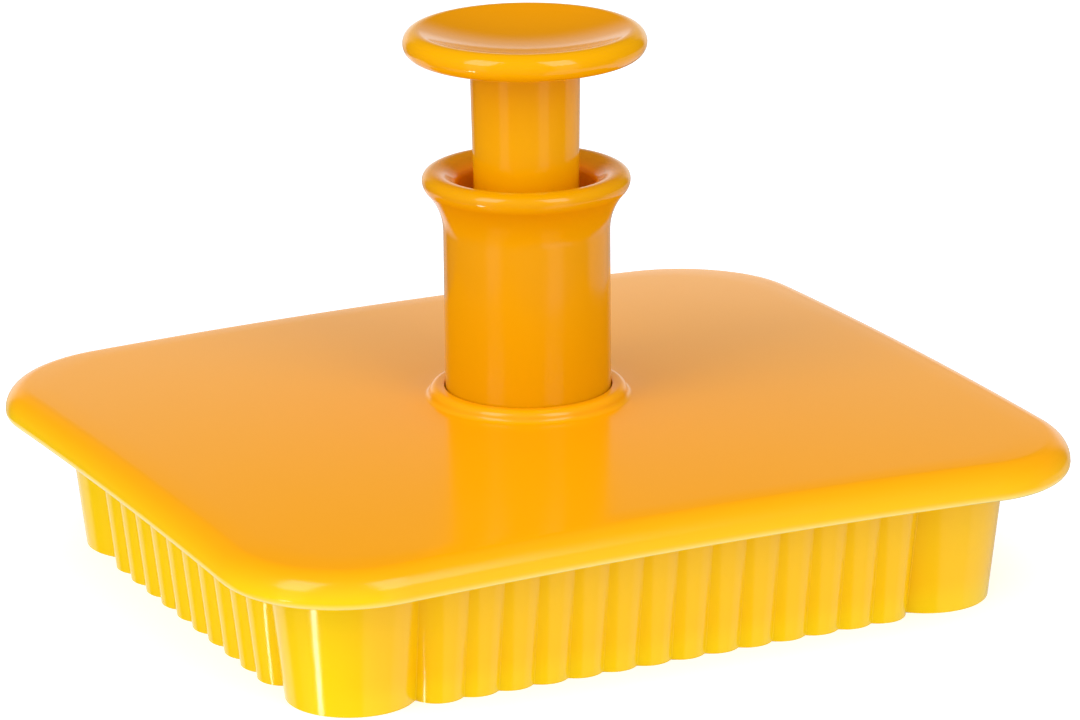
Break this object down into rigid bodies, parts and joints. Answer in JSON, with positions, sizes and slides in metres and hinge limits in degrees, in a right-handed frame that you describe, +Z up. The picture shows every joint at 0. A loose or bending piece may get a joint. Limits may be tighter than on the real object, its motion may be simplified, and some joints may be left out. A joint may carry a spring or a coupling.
{
  "type": "biscuit cutter",
  "caption": "Fluted rectangular biscuit cutter with a crowned plate, a guide sleeve and a sprung plunger whose stamp presses and releases the biscuit.",
  "frame": {"origin": "centre of the cutting edge, in the plane that the cutter stands on", "axes": "+X along the long side of the biscuit, +Y along its short side, +Z up through the knob"},
  "size_m": [0.079, 0.07, 0.0491],
  "materials": {
    "cutter_plastic": "polished moulded plastic, golden yellow",
    "sleeve_plastic": "polished moulded plastic, orange yellow",
    "spring_steel": "bright drawn wire",
    "plunger_plastic": "polished moulded plastic, orange yellow",
    "stamp_plastic": "moulded plastic, golden yellow"
  },
  "bodies": {
    "cutter": {"cutter_body": "cutter_plastic", "guide_sleeve": "sleeve_plastic", "return_spring": "spring_steel"},
    "plunger": {"plunger": "plunger_plastic", "stamp_plate": "stamp_plastic"}
  },
  "joints": [
    {"name": "plunger_slide", "type": "slide", "parent": "cutter", "child": "plunger", "axis": [0, 0, -1], "range_m": [0, 0.009], "stiffness_N_per_m": 870, "springref_m": -0.0048, "deforming": ["return_spring"]}
  ]
}
